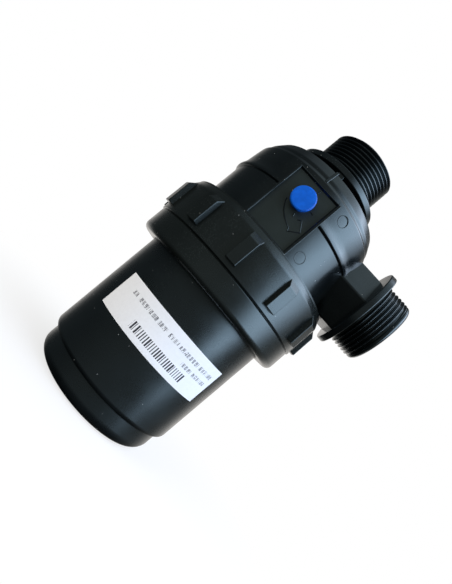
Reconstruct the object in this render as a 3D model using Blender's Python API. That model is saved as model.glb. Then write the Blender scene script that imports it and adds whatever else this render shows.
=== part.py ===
"""Suction filter: a moulded head with two male ports, and a bowl that a ring nut holds to it.

The filter stands on the bottom of its bowl. The origin is the middle of that flat bottom,
+Z runs up the main axis to the axial port, +X is the side port and -Y is the front,
which carries the framed panel with the blue plug.
"""
import math

import bmesh
import bpy
from mathutils import Matrix, Vector

MM = 0.001
UP = Vector((0.0, 0.0, 1.0))
FRONT = -math.pi / 2

# Running and resting clearances
GAP = 0.3 * MM
RUNNING_GAP = 0.4 * MM

# Segments of turned pieces and of rounded corners
HEAD_SEGMENTS = 48
NUT_SEGMENTS = 60
BOWL_SEGMENTS = 60
PORT_SEGMENTS = 48
SEAL_SEGMENTS = 40
PLUG_SEGMENTS = 32
CAGE_SEGMENTS = 32
ARC_STEPS = 3

# Bowl, from the floor up
BOWL_RADIUS = 42.3 * MM
BOWL_TAPER = 0.7 * MM
CUP_STEP = 2.9 * MM
CUP_HEIGHT = 13.7 * MM
FOOT_ROUND = 6.6 * MM
SHOULDER_HEIGHT = 3.4 * MM
BOWL_WALL = 2.8 * MM
BOWL_FLOOR = 3.0 * MM
BOWL_LENGTH = 85.9 * MM
BOWL_FLANGE_THICKNESS = 5.0 * MM
BOWL_FLANGE_PLAY = 0.5 * MM
NECK_STEP = 0.3 * MM
NECK_HEIGHT = 6.8 * MM
CENTRING_RING_HEIGHT = 5.0 * MM
CENTRING_RING_WALL = 2.0 * MM

# Sealing ring between the bowl's neck and the head
SEAL_SECTION = 2.2 * MM
SEAL_GROOVE_LEVEL = 1.2 * MM
SEAL_GROOVE_WIDTH = 3.4 * MM
SEAL_SIDES = 8

# Thread between the head's skirt and the ring nut
THREAD_PITCH = 8.0 * MM
THREAD_TURNS = 1.5
THREAD_DEPTH = 1.7 * MM
THREAD_FOOT_WIDTH = 3.4 * MM
THREAD_CREST_WIDTH = 1.8 * MM
THREAD_START = 3.6 * MM
THREAD_STEPS = 40
THREAD_PHASE = math.radians(2.6)
THREAD_OFFSET = 3.4 * MM
SUNK = 0.5 * MM

# Ring nut
NUT_LIP_THICKNESS = 7.2 * MM
NUT_LIP_EDGE = 0.8 * MM
NUT_WALL = 4.4 * MM
NUT_STEP = 0.7 * MM
NUT_BOTTOM_ROUND = 3.4 * MM
NUT_GROOVE_HEIGHT = 13.4 * MM
NUT_GROOVE_WIDTH = 1.0 * MM
NUT_GROOVE_DEPTH = 1.3 * MM
NUT_HEIGHT = 37.6 * MM
NUT_CHAMFER = 4.4 * MM
NUT_CHAMFER_WIDTH = 2.4 * MM
LUGS = 12
LUG_PHASE = math.radians(1.6)
LUG_RISE = 2.7 * MM
LUG_WIDTH = 7.2 * MM
LUG_TOP_WIDTH = 6.2 * MM
LUG_BOTTOM = 16.5 * MM
LUG_SHOULDER = 30.2 * MM
LUG_TOP = 34.6 * MM

# Head casing
SKIRT_WALL = 2.3 * MM
SKIRT_HEIGHT = 20.0 * MM
SKIRT_CHAMFER = 2.1 * MM
SKIRT_BORE_DEPTH = 8.0 * MM
HEAD_STEP = 1.1 * MM
HEAD_WALL = 4.0 * MM
BEAD_RISE = 1.8 * MM
BEAD_WIDTH = 2.2 * MM
BEAD_FADE = 2.4 * MM
DOME_START_STEP = 0.3 * MM
DOME_START = 57.5 * MM
DOME_LINE_LEVEL = 64.4 * MM
DOME_LINE_INSET = 1.4 * MM
DOME_LINE_STEP = 0.6 * MM
RIM_LEVEL = 72.8 * MM
RIM_INSET = 6.4 * MM
RIM_WALL = 2.4 * MM
RIM_CURVE = 1.4 * MM
RIM_CURVE_START = 20.0
RECESS_DEPTH = 9.0 * MM
CEILING_THICKNESS = 3.6 * MM
CHAMBER_ROUND = 5.0 * MM
WEBS = 4
WEB_WIDTH = 4.0 * MM
TAB_WIDTH = 1.6 * MM
TAB_HEIGHT = 1.2 * MM

# Ports: G 1 1/4 male thread blanks behind round sealing flanges
PORT_LEVEL = 46.8 * MM
PORT_THREAD_RADIUS = 20.955 * MM
PORT_BORE_RADIUS = 14.5 * MM
PORT_NECK_RADIUS = 22.0 * MM
PORT_FLANGE_RADIUS = 27.6 * MM
PORT_FLANGE_THICKNESS = 3.7 * MM
PORT_EDGE = 0.5 * MM
PORT_CHAMFER = 1.6 * MM
AXIAL_NECK = 7.1 * MM
AXIAL_THREAD_LENGTH = 23.0 * MM
SIDE_REACH = 12.6 * MM
SIDE_THREAD_LENGTH = 16.9 * MM
SIDE_NECK_FRONT = 20.8 * MM
SIDE_NECK_EDGE_DROP = 0.15 * MM
SIDE_NECK_HALF_FLAT = 9.8 * MM
SIDE_NECK_UP = 16.8 * MM
SIDE_NECK_DOWN = 19.8 * MM

# Framed panel and blue plug on the front
PANEL_RISE = 1.0 * MM
PANEL_DEPTH = 1.7 * MM
PANEL_WIDTH = 24.8 * MM
PANEL_BELOW_PORT = 20.5 * MM
PANEL_ABOVE_PORT = 12.9 * MM
PANEL_RIB = 2.0 * MM
PANEL_END_RIB = 1.2 * MM
PANEL_TOP_RIB = 3.0 * MM
PLUG_RADIUS = 6.35 * MM
PLUG_ABOVE_PORT = 1.9 * MM
PLUG_PROUD = 2.9 * MM
PLUG_EDGE = 0.5 * MM
PLUG_STEM_RADIUS = 4.0 * MM
PLUG_STEM_LENGTH = 1.5 * MM

# Filter cartridge
SPIGOT_WALL = 6.0 * MM
SPIGOT_LEVEL = 18.0 * MM
CARTRIDGE_RADIUS = 29.0 * MM
CARTRIDGE_CAP = 3.7 * MM
CAGE_WALL = 2.8 * MM
CAGE_COLUMNS = 8
CAGE_ROWS = 4
CAGE_RIB = 3.6 * MM
CAGE_HOOP = 3.0 * MM
COLLAR_RADIUS = 30.2 * MM
COLLAR_HEIGHT = 12.0 * MM
COLLAR_ENGAGEMENT = 9.5 * MM
MESH_THICKNESS = 0.4 * MM
CARTRIDGE_SEAL_WIDTH = 2.1 * MM
CARTRIDGE_SEAL_HEIGHT = 3.0 * MM
CARTRIDGE_SEAL_DROP = 4.0 * MM

# Paper label on the bowl, with its ends as angles from the front
LABEL_START = math.radians(-39.0)
LABEL_END = math.radians(61.0)
LABEL_BOTTOM = 39.9 * MM
LABEL_HEIGHT = 20.4 * MM
LABEL_THICKNESS = 0.3 * MM

# Levels and radii that follow from the sizes above
SHOULDER_RADIUS = BOWL_RADIUS - BOWL_TAPER
CUP_RADIUS = SHOULDER_RADIUS - CUP_STEP
NECK_RADIUS = BOWL_RADIUS + NECK_STEP
FLANGE_TOP = BOWL_LENGTH + BOWL_FLANGE_THICKNESS
SEAT = FLANGE_TOP + GAP
GROOVE_BOTTOM_RADIUS = NECK_RADIUS - SEAL_SECTION
SEAL_RADIUS = GROOVE_BOTTOM_RADIUS + GAP + SEAL_SECTION / 2
SKIRT_BORE_RADIUS = SEAL_RADIUS + SEAL_SECTION / 2 + GAP
SKIRT_RADIUS = SKIRT_BORE_RADIUS + SKIRT_WALL
THREAD_CREST_RADIUS = SKIRT_RADIUS + THREAD_DEPTH
NUT_BORE_RADIUS = THREAD_CREST_RADIUS + RUNNING_GAP
NUT_CREST_RADIUS = SKIRT_RADIUS + RUNNING_GAP
BOWL_FLANGE_RADIUS = NUT_BORE_RADIUS - BOWL_FLANGE_PLAY
NUT_BAND_RADIUS = NUT_BORE_RADIUS + NUT_WALL
NUT_RADIUS = NUT_BAND_RADIUS - NUT_STEP
NUT_TOP_RADIUS = NUT_BAND_RADIUS - NUT_CHAMFER_WIDTH
LUG_RADIUS = NUT_BAND_RADIUS + LUG_RISE
NUT_LEDGE = BOWL_LENGTH - GAP
NUT_BOTTOM = NUT_LEDGE - NUT_LIP_THICKNESS
NUT_LIP_RADIUS = BOWL_RADIUS + 2 * RUNNING_GAP
NUT_TOP = NUT_BOTTOM + NUT_HEIGHT
HEAD_RADIUS = BOWL_RADIUS + HEAD_STEP
BEAD_RADIUS = HEAD_RADIUS + BEAD_RISE
DOME_START_RADIUS = HEAD_RADIUS - DOME_START_STEP
DOME_LINE_RADIUS = HEAD_RADIUS - DOME_LINE_INSET
RIM_RADIUS = HEAD_RADIUS - RIM_INSET
RIM_INNER_RADIUS = RIM_RADIUS - RIM_WALL
PORT_AXIS = SEAT + PORT_LEVEL
RIM = SEAT + RIM_LEVEL
RECESS_FLOOR = RIM - RECESS_DEPTH
CEILING = RECESS_FLOOR - CEILING_THICKNESS
AXIAL_FLANGE = RIM + AXIAL_NECK
AXIAL_THREAD = AXIAL_FLANGE + PORT_FLANGE_THICKNESS
AXIAL_END = AXIAL_THREAD + AXIAL_THREAD_LENGTH
SIDE_FLANGE_X = HEAD_RADIUS + SIDE_REACH
SIDE_THREAD_X = SIDE_FLANGE_X + PORT_FLANGE_THICKNESS
SIDE_END = SIDE_THREAD_X + SIDE_THREAD_LENGTH
CHAMBER_RADIUS = HEAD_RADIUS - HEAD_WALL
PANEL_FACE = HEAD_RADIUS + PANEL_RISE
PANEL_FLOOR = PANEL_FACE - PANEL_DEPTH
PANEL_BOTTOM = PORT_AXIS - PANEL_BELOW_PORT
PANEL_TOP = PORT_AXIS + PANEL_ABOVE_PORT
PLUG_LEVEL = PORT_AXIS + PLUG_ABOVE_PORT
SPIGOT_RADIUS = PORT_BORE_RADIUS + SPIGOT_WALL
SPIGOT_END = SEAT + SPIGOT_LEVEL
COLLAR_TOP = SPIGOT_END + COLLAR_ENGAGEMENT
COLLAR_BOTTOM = COLLAR_TOP - COLLAR_HEIGHT
COLLAR_BORE_RADIUS = SPIGOT_RADIUS + RUNNING_GAP
CAGE_BOTTOM = BOWL_FLOOR + GAP
CAP_TOP = CAGE_BOTTOM + CARTRIDGE_CAP
CAGE_INNER_RADIUS = CARTRIDGE_RADIUS - CAGE_WALL


def material(name, colour, roughness, metallic=0.0):
    """A plain Principled material."""
    made = bpy.data.materials.new(name)
    made.use_nodes = True
    made.diffuse_color = (*colour, 1.0)
    shader = made.node_tree.nodes["Principled BSDF"]
    shader.inputs["Base Color"].default_value = (*colour, 1.0)
    shader.inputs["Roughness"].default_value = roughness
    shader.inputs["Metallic"].default_value = metallic
    return made


def new_object(name, bm):
    """Put a bmesh into the scene as an object, with its faces pointing out."""
    bmesh.ops.recalc_face_normals(bm, faces=bm.faces)
    mesh = bpy.data.meshes.new(name)
    bm.to_mesh(mesh)
    bm.free()
    made = bpy.data.objects.new(name, mesh)
    bpy.context.collection.objects.link(made)
    return made


def arc(centre, radius, start, end, steps=ARC_STEPS):
    """Points on an arc in the (radius, height) plane, angles in degrees."""
    points = []
    for step in range(steps + 1):
        angle = math.radians(start + (end - start) * step / steps)
        points.append((centre[0] + radius * math.cos(angle), centre[1] + radius * math.sin(angle)))
    return points


def turned(name, outline, steps=HEAD_SEGMENTS):
    """Spin an outline of (radius, height) points about Z.

    An outline that begins and ends on the axis makes a solid. Any other is closed into a ring.
    """
    bm = bmesh.new()
    verts = [bm.verts.new((radius, 0.0, height)) for radius, height in outline]
    edges = [bm.edges.new(pair) for pair in zip(verts, verts[1:])]
    if outline[0][0] > 0.0:
        edges.append(bm.edges.new((verts[-1], verts[0])))
    bmesh.ops.spin(bm, geom=verts + edges, cent=(0, 0, 0), axis=UP, angle=math.tau,
                   steps=steps, use_merge=True)
    bmesh.ops.remove_doubles(bm, verts=bm.verts, dist=0.001 * MM)
    return new_object(name, bm)


def extruded(name, outline, start, end, place):
    """Extrude a closed outline of 2-D points from start to end.

    place(u, v, w) gives the 3-D point of outline point (u, v) at distance w.
    """
    bm = bmesh.new()
    base = bm.faces.new([bm.verts.new(place(u, v, start)) for u, v in outline])
    far = bmesh.ops.extrude_face_region(bm, geom=[base])["geom"]
    moved = [item for item in far if isinstance(item, bmesh.types.BMVert)]
    shift = Vector(place(0.0, 0.0, end)) - Vector(place(0.0, 0.0, start))
    bmesh.ops.translate(bm, verts=moved, vec=shift)
    return new_object(name, bm)


def block(name, low, high):
    """A box between two corners."""
    bm = bmesh.new()
    size = Vector(high) - Vector(low)
    matrix = Matrix.Translation((Vector(low) + Vector(high)) / 2) @ Matrix.Diagonal((*size, 1.0))
    bmesh.ops.create_cube(bm, size=1.0, matrix=matrix)
    return new_object(name, bm)


def helical_ridge(name, foot_radius, crest_radius, start_level):
    """One ridge of the coarse thread, swept up a right-hand helix, with tapered run-outs."""
    count = round(THREAD_STEPS * THREAD_TURNS)
    half_foot = THREAD_FOOT_WIDTH / 2
    half_crest = THREAD_CREST_WIDTH / 2
    bm = bmesh.new()
    rings = []
    for step in range(count + 1):
        turn = step / THREAD_STEPS
        angle = THREAD_PHASE + math.tau * turn
        level = start_level + THREAD_PITCH * turn
        height = min(1.0, (min(step, count - step) + 1) / 3)
        crest = foot_radius + (crest_radius - foot_radius) * height
        section = ((foot_radius, -half_foot), (crest, -half_crest),
                   (crest, half_crest), (foot_radius, half_foot))
        rings.append([bm.verts.new((radius * math.cos(angle), radius * math.sin(angle), level + rise))
                      for radius, rise in section])
    for ring, following in zip(rings, rings[1:]):
        for side in range(4):
            after = (side + 1) % 4
            bm.faces.new((ring[side], ring[after], following[after], following[side]))
    bm.faces.new(rings[0])
    bm.faces.new(rings[-1])
    return new_object(name, bm)


def around_axis(made, count, phase=0.0):
    """Repeat an object's mesh evenly about Z, inside the same object."""
    bm = bmesh.new()
    for index in range(count):
        copy = made.data.copy()
        copy.transform(Matrix.Rotation(phase + math.tau * index / count, 4, "Z"))
        bm.from_mesh(copy)
        bpy.data.meshes.remove(copy)
    bm.to_mesh(made.data)
    bm.free()
    return made


def along_x(made, height):
    """Turn a shape made about Z to lie about the side port's axis, its top towards +X."""
    turn = Matrix.Translation((0.0, 0.0, height)) @ Matrix.Rotation(math.pi / 2, 4, "Y")
    made.data.transform(turn)
    return made


def along_front(made, height):
    """Turn a shape made about Z to point out of the front, along -Y."""
    made.data.transform(Matrix.Translation((0.0, 0.0, height)) @ Matrix.Rotation(math.pi / 2, 4, "X"))
    return made


def combine(target, tool, operation):
    """Apply an exact Boolean to the target and remove the tool."""
    modifier = target.modifiers.new(operation.title(), "BOOLEAN")
    modifier.operation = operation
    modifier.solver = "EXACT"
    modifier.object = tool
    depsgraph = bpy.context.evaluated_depsgraph_get()
    result = bpy.data.meshes.new_from_object(target.evaluated_get(depsgraph))
    target.modifiers.clear()
    target.data = result
    bpy.data.objects.remove(tool)


def finish(made, look, parent, edge_degrees=30.0):
    """Give a finished piece its material, smooth shading and parent."""
    made.data.materials.clear()
    made.data.materials.append(look)
    made.data.shade_smooth()
    made.data.set_sharp_from_angle(angle=math.radians(edge_degrees))
    made.parent = parent
    return made


def bowl_outline():
    """Section of the bowl: outside from the floor up, then back down the inside."""
    taper = (BOWL_RADIUS - SHOULDER_RADIUS) / (BOWL_LENGTH - CUP_HEIGHT)
    shoulder_end = CUP_HEIGHT + SHOULDER_HEIGHT
    step = SHOULDER_RADIUS - CUP_RADIUS
    shoulder = [(CUP_RADIUS + step * math.sin(angle),
                 shoulder_end - SHOULDER_HEIGHT * math.cos(angle))
                for angle in (math.pi / 2 * part / ARC_STEPS for part in range(ARC_STEPS + 1))]
    outside = [(0.0, 0.0)]
    outside += arc((CUP_RADIUS - FOOT_ROUND, FOOT_ROUND), FOOT_ROUND, -90, 0)
    outside += shoulder
    outside += [(BOWL_RADIUS, BOWL_LENGTH), (BOWL_FLANGE_RADIUS, BOWL_LENGTH),
                (BOWL_FLANGE_RADIUS, FLANGE_TOP), (NECK_RADIUS, FLANGE_TOP)]
    groove = FLANGE_TOP + SEAL_GROOVE_LEVEL
    neck_top = FLANGE_TOP + NECK_HEIGHT
    outside += [(NECK_RADIUS, groove), (GROOVE_BOTTOM_RADIUS, groove),
                (GROOVE_BOTTOM_RADIUS, groove + SEAL_GROOVE_WIDTH),
                (NECK_RADIUS, groove + SEAL_GROOVE_WIDTH), (NECK_RADIUS, neck_top)]
    inner_top = BOWL_RADIUS - BOWL_WALL
    inner_shoulder = SHOULDER_RADIUS - BOWL_WALL - taper * SHOULDER_HEIGHT
    inner_cup = CUP_RADIUS - BOWL_WALL
    inner_round = FOOT_ROUND - BOWL_FLOOR
    ring_inner = CARTRIDGE_RADIUS + RUNNING_GAP
    ring_outer = ring_inner + CENTRING_RING_WALL
    ring_top = BOWL_FLOOR + CENTRING_RING_HEIGHT
    inside = [(inner_top, neck_top), (inner_shoulder, shoulder_end + BOWL_WALL / 2),
              (inner_cup, CUP_HEIGHT)]
    inside += arc((inner_cup - inner_round, BOWL_FLOOR + inner_round), inner_round, 0, -90, 2)
    inside += [(ring_outer, BOWL_FLOOR), (ring_outer, ring_top), (ring_inner, ring_top),
               (ring_inner, BOWL_FLOOR), (0.0, BOWL_FLOOR)]
    return outside + inside


def make_bowl(look, parent):
    """The bowl, with its stepped foot, clamping flange, neck and seal groove."""
    return finish(turned("bowl", bowl_outline(), BOWL_SEGMENTS), look, parent)


def make_bowl_seal(look, parent):
    """Sealing ring in the groove of the bowl's neck."""
    level = FLANGE_TOP + SEAL_GROOVE_LEVEL + GAP + SEAL_SECTION / 2
    section = arc((SEAL_RADIUS, level), SEAL_SECTION / 2, 0, 360, SEAL_SIDES)[:-1]
    return finish(turned("bowl_seal", section, SEAL_SEGMENTS), look, parent, 60.0)


def nut_outline():
    """Section of the ring nut: rounded bottom, groove line, band, chamfered top and threaded bore."""
    centre = (NUT_RADIUS - NUT_BOTTOM_ROUND, NUT_BOTTOM + NUT_BOTTOM_ROUND)
    groove = NUT_BOTTOM + NUT_GROOVE_HEIGHT
    half_groove = NUT_GROOVE_WIDTH / 2
    outline = [(NUT_LIP_RADIUS, NUT_LEDGE), (NUT_LIP_RADIUS, NUT_BOTTOM + NUT_LIP_EDGE),
               (NUT_LIP_RADIUS + NUT_LIP_EDGE, NUT_BOTTOM)]
    outline += arc(centre, NUT_BOTTOM_ROUND, -90, 0)
    outline += [(NUT_RADIUS, groove - half_groove), (NUT_BAND_RADIUS - NUT_GROOVE_DEPTH, groove),
                (NUT_BAND_RADIUS, groove + half_groove),
                (NUT_BAND_RADIUS, NUT_TOP - NUT_CHAMFER), (NUT_TOP_RADIUS, NUT_TOP),
                (NUT_BORE_RADIUS, NUT_TOP), (NUT_BORE_RADIUS, NUT_LEDGE)]
    return outline


def make_nut(look, parent):
    """The ring nut: twelve grip lugs outside and the coarse thread inside."""
    nut = turned("ring_nut", nut_outline(), NUT_SEGMENTS)
    inside = NUT_BAND_RADIUS - NUT_GROOVE_DEPTH
    side = [(inside, NUT_BOTTOM + LUG_BOTTOM), (LUG_RADIUS, NUT_BOTTOM + LUG_BOTTOM),
            (LUG_RADIUS, NUT_BOTTOM + LUG_SHOULDER), (inside, NUT_BOTTOM + LUG_TOP)]
    lug = extruded("lug", side, -LUG_WIDTH / 2, LUG_WIDTH / 2,
                   lambda radius, level, across: (across, -radius, level))
    for vert in lug.data.vertices:
        if vert.co.y < -NUT_BAND_RADIUS:
            vert.co.x *= LUG_TOP_WIDTH / LUG_WIDTH
    combine(nut, around_axis(lug, LUGS, LUG_PHASE), "UNION")
    ridge = helical_ridge("nut_thread", NUT_BORE_RADIUS + SUNK, NUT_CREST_RADIUS,
                          SEAT + THREAD_START + THREAD_OFFSET)
    combine(nut, ridge, "UNION")
    return finish(nut, look, parent)


def head_outline():
    """Outer section of the head with its skirt, bead, dome, rim recess and axial port."""
    bead_top = PORT_AXIS + BEAD_WIDTH
    line = SEAT + DOME_LINE_LEVEL
    skirt_top = SEAT + SKIRT_HEIGHT
    neck = PORT_NECK_RADIUS
    flange = PORT_FLANGE_RADIUS
    return [
        (0.0, SEAT), (SKIRT_RADIUS, SEAT), (SKIRT_RADIUS, skirt_top - SKIRT_CHAMFER),
        (HEAD_RADIUS, skirt_top), (HEAD_RADIUS, PORT_AXIS),
        (BEAD_RADIUS, PORT_AXIS), (BEAD_RADIUS, bead_top),
        (DOME_START_RADIUS, bead_top + BEAD_FADE), (DOME_START_RADIUS, SEAT + DOME_START),
        (DOME_LINE_RADIUS, line), (DOME_LINE_RADIUS - DOME_LINE_STEP, line + DOME_LINE_STEP / 2),
        *arc((RIM_RADIUS - RIM_CURVE, RIM - RIM_CURVE), RIM_CURVE, RIM_CURVE_START, 90),
        (RIM_INNER_RADIUS, RIM), (RIM_INNER_RADIUS, RECESS_FLOOR),
        (neck, RECESS_FLOOR), (neck, AXIAL_FLANGE),
        (flange - PORT_EDGE, AXIAL_FLANGE), (flange, AXIAL_FLANGE + PORT_EDGE),
        (flange, AXIAL_THREAD - PORT_EDGE), (flange - PORT_EDGE, AXIAL_THREAD),
        (PORT_THREAD_RADIUS, AXIAL_THREAD), (PORT_THREAD_RADIUS, AXIAL_END - PORT_CHAMFER),
        (PORT_THREAD_RADIUS - PORT_CHAMFER, AXIAL_END), (0.0, AXIAL_END),
    ]


def chamber_outline():
    """Hollow of the head: open at the skirt and closed at the ceiling round the spigot."""
    below = SEAT - 2 * GAP
    corner = (CHAMBER_RADIUS - CHAMBER_ROUND, CEILING - CHAMBER_ROUND)
    return [
        (0.0, below), (SKIRT_BORE_RADIUS, below), (SKIRT_BORE_RADIUS, SEAT + SKIRT_BORE_DEPTH),
        (CHAMBER_RADIUS, SEAT + SKIRT_BORE_DEPTH + SKIRT_BORE_RADIUS - CHAMBER_RADIUS),
        *arc(corner, CHAMBER_ROUND, 0, 90, 3),
        (SPIGOT_RADIUS, CEILING), (SPIGOT_RADIUS, SPIGOT_END), (0.0, SPIGOT_END),
    ]


def side_port():
    """Faceted neck, flange and thread blank of the side port, as one solid."""
    section = [(-SIDE_NECK_FRONT, -SIDE_NECK_EDGE_DROP), (-SIDE_NECK_HALF_FLAT, -SIDE_NECK_DOWN),
               (SIDE_NECK_HALF_FLAT, -SIDE_NECK_DOWN), (SIDE_NECK_FRONT, -SIDE_NECK_EDGE_DROP),
               (SIDE_NECK_HALF_FLAT, SIDE_NECK_UP), (-SIDE_NECK_HALF_FLAT, SIDE_NECK_UP)]
    port = extruded("side_neck", section, CHAMBER_RADIUS - CHAMBER_ROUND, SIDE_THREAD_X - PORT_EDGE,
                    lambda across, rise, out: (out, across, PORT_AXIS + rise))
    flange = PORT_FLANGE_RADIUS
    end = turned("side_end", [
        (0.0, SIDE_FLANGE_X), (flange - PORT_EDGE, SIDE_FLANGE_X),
        (flange, SIDE_FLANGE_X + PORT_EDGE), (flange, SIDE_THREAD_X - PORT_EDGE),
        (flange - PORT_EDGE, SIDE_THREAD_X), (PORT_THREAD_RADIUS, SIDE_THREAD_X),
        (PORT_THREAD_RADIUS, SIDE_END - PORT_CHAMFER),
        (PORT_THREAD_RADIUS - PORT_CHAMFER, SIDE_END), (0.0, SIDE_END)], PORT_SEGMENTS)
    combine(port, along_x(end, PORT_AXIS), "UNION")
    return port


def rim_webs():
    """Radial webs that tie the axial flange and neck to the rim across the recess."""
    inner = PORT_NECK_RADIUS - SUNK
    side = [(inner, RECESS_FLOOR - SUNK), (RIM_INNER_RADIUS + SUNK, RECESS_FLOOR - SUNK),
            (RIM_INNER_RADIUS + SUNK, RIM - SUNK), (PORT_FLANGE_RADIUS - PORT_EDGE * 2, RIM + SUNK),
            (PORT_FLANGE_RADIUS - PORT_EDGE * 2, AXIAL_FLANGE + SUNK), (inner, AXIAL_FLANGE + SUNK)]
    web = extruded("web", side, -WEB_WIDTH / 2, WEB_WIDTH / 2,
                   lambda radius, level, across: (across, -radius, level))
    return around_axis(web, WEBS)


def rim_tab():
    """Small moulded tab that crosses the rim's band at the front."""
    line = SEAT + DOME_LINE_LEVEL
    side = [(RIM_INNER_RADIUS + SUNK, line), (DOME_LINE_RADIUS + TAB_HEIGHT / 4, line - SUNK),
            (RIM_RADIUS + TAB_HEIGHT * 1.5, RIM), (RIM_RADIUS, RIM + TAB_HEIGHT),
            (RIM_INNER_RADIUS + SUNK, RIM + TAB_HEIGHT)]
    return extruded("tab", side, -TAB_WIDTH / 2, TAB_WIDTH / 2,
                    lambda radius, level, across: (across, -radius, level))


def make_head(look, parent):
    """The head casing: one moulding with both ports, the panel frame and the inner spigot."""
    head = turned("head_casing", head_outline())
    inner = PANEL_WIDTH / 2
    outer = inner + PANEL_RIB
    frame = block("frame", (-outer, -PANEL_FACE, PANEL_BOTTOM - PANEL_END_RIB),
                  (outer, -CHAMBER_RADIUS + SUNK, PANEL_TOP + PANEL_TOP_RIB))
    combine(head, frame, "UNION")
    recess = block("recess", (-inner, -BEAD_RADIUS - GAP, PANEL_BOTTOM), (inner, -PANEL_FLOOR, PANEL_TOP))
    combine(head, recess, "DIFFERENCE")
    stem = PLUG_STEM_RADIUS + GAP
    depth = PANEL_FLOOR - PLUG_STEM_LENGTH - GAP
    pocket = turned("pocket", [(0.0, depth), (stem, depth), (stem, PANEL_FACE), (0.0, PANEL_FACE)],
                    PLUG_SEGMENTS)
    combine(head, along_front(pocket, PLUG_LEVEL), "DIFFERENCE")
    combine(head, side_port(), "UNION")
    combine(head, rim_webs(), "UNION")
    combine(head, rim_tab(), "UNION")
    combine(head, helical_ridge("skirt_thread", SKIRT_RADIUS - SUNK, THREAD_CREST_RADIUS,
                                SEAT + THREAD_START), "UNION")
    combine(head, turned("chamber", chamber_outline()), "DIFFERENCE")
    above = AXIAL_END + GAP
    combine(head, turned("axial_bore", [(0.0, SEAT), (PORT_BORE_RADIUS, SEAT),
                                        (PORT_BORE_RADIUS, above), (0.0, above)], PORT_SEGMENTS),
            "DIFFERENCE")
    bore_start = (SPIGOT_RADIUS + CHAMBER_RADIUS) / 2
    beyond = SIDE_END + GAP
    side_bore = turned("side_bore", [(0.0, bore_start), (PORT_BORE_RADIUS, bore_start),
                                     (PORT_BORE_RADIUS, beyond), (0.0, beyond)], PORT_SEGMENTS)
    combine(head, along_x(side_bore, PORT_AXIS), "DIFFERENCE")
    return finish(head, look, parent)


def make_plug(look, parent):
    """Blue plug pressed into the panel: a low round button on a short stem."""
    seat = PANEL_FLOOR + GAP
    face = PANEL_FLOOR + PLUG_PROUD
    plug = turned("colour_plug", [
        (0.0, seat - PLUG_STEM_LENGTH), (PLUG_STEM_RADIUS, seat - PLUG_STEM_LENGTH),
        (PLUG_STEM_RADIUS, seat), (PLUG_RADIUS, seat), (PLUG_RADIUS, face - PLUG_EDGE),
        (PLUG_RADIUS - PLUG_EDGE, face), (0.0, face)], PLUG_SEGMENTS)
    return finish(along_front(plug, PLUG_LEVEL), look, parent)


def make_cage(look, parent):
    """Cartridge cage: closed foot, windowed wall and the collar that slides over the spigot."""
    ledge = COLLAR_BOTTOM + (CAGE_INNER_RADIUS - COLLAR_BORE_RADIUS) / 2
    seal_low = COLLAR_TOP - CARTRIDGE_SEAL_DROP - CARTRIDGE_SEAL_HEIGHT - 2 * GAP
    seal_high = COLLAR_TOP - CARTRIDGE_SEAL_DROP
    groove = SPIGOT_RADIUS + 2 * GAP + CARTRIDGE_SEAL_WIDTH
    edge = CAGE_HOOP / 4
    cage = turned("cartridge_cage", [
        (0.0, CAGE_BOTTOM), (CARTRIDGE_RADIUS - edge, CAGE_BOTTOM),
        (CARTRIDGE_RADIUS, CAGE_BOTTOM + edge), (CARTRIDGE_RADIUS, COLLAR_BOTTOM - edge),
        (COLLAR_RADIUS, COLLAR_BOTTOM + edge), (COLLAR_RADIUS, COLLAR_TOP),
        (COLLAR_BORE_RADIUS, COLLAR_TOP), (COLLAR_BORE_RADIUS, seal_high), (groove, seal_high),
        (groove, seal_low), (COLLAR_BORE_RADIUS, seal_low), (COLLAR_BORE_RADIUS, ledge),
        (CAGE_INNER_RADIUS, COLLAR_BOTTOM), (CAGE_INNER_RADIUS, CAP_TOP), (0.0, CAP_TOP)], CAGE_SEGMENTS)
    low = CAP_TOP + CAGE_HOOP / 2
    high = COLLAR_BOTTOM - CAGE_HOOP
    row_pitch = (high - low + CAGE_HOOP) / CAGE_ROWS
    half_width = CARTRIDGE_RADIUS * math.sin(math.pi / CAGE_COLUMNS) - CAGE_RIB / 2
    windows = bmesh.new()
    for row in range(CAGE_ROWS):
        bottom = low + row * row_pitch
        top = bottom + row_pitch - CAGE_HOOP
        matrix = Matrix.Translation((0.0, -CARTRIDGE_RADIUS, (bottom + top) / 2))
        matrix @= Matrix.Diagonal((2 * half_width, 4 * CAGE_WALL, top - bottom, 1.0))
        bmesh.ops.create_cube(windows, size=1.0, matrix=matrix)
    cutter = around_axis(new_object("windows", windows), CAGE_COLUMNS, math.pi / CAGE_COLUMNS)
    combine(cage, cutter, "DIFFERENCE")
    return finish(cage, look, parent)


def make_mesh_sleeve(look, parent):
    """Sleeve of woven stainless mesh that lines the cage, as a thin open tube."""
    outer = CAGE_INNER_RADIUS - GAP
    low = CAP_TOP + GAP
    high = COLLAR_BOTTOM - GAP
    section = [(outer, low), (outer, high), (outer - MESH_THICKNESS, high),
               (outer - MESH_THICKNESS, low)]
    return finish(turned("mesh_sleeve", section, CAGE_SEGMENTS), look, parent)


def make_cartridge_seal(look, parent):
    """Flat rubber ring in the cartridge's collar, round the head's spigot."""
    inner = SPIGOT_RADIUS + GAP
    outer = inner + CARTRIDGE_SEAL_WIDTH
    high = COLLAR_TOP - CARTRIDGE_SEAL_DROP - GAP
    low = high - CARTRIDGE_SEAL_HEIGHT
    section = [(outer, low), (outer, high), (inner, high), (inner, low)]
    return finish(turned("cartridge_seal", section, CAGE_SEGMENTS), look, parent)


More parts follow.
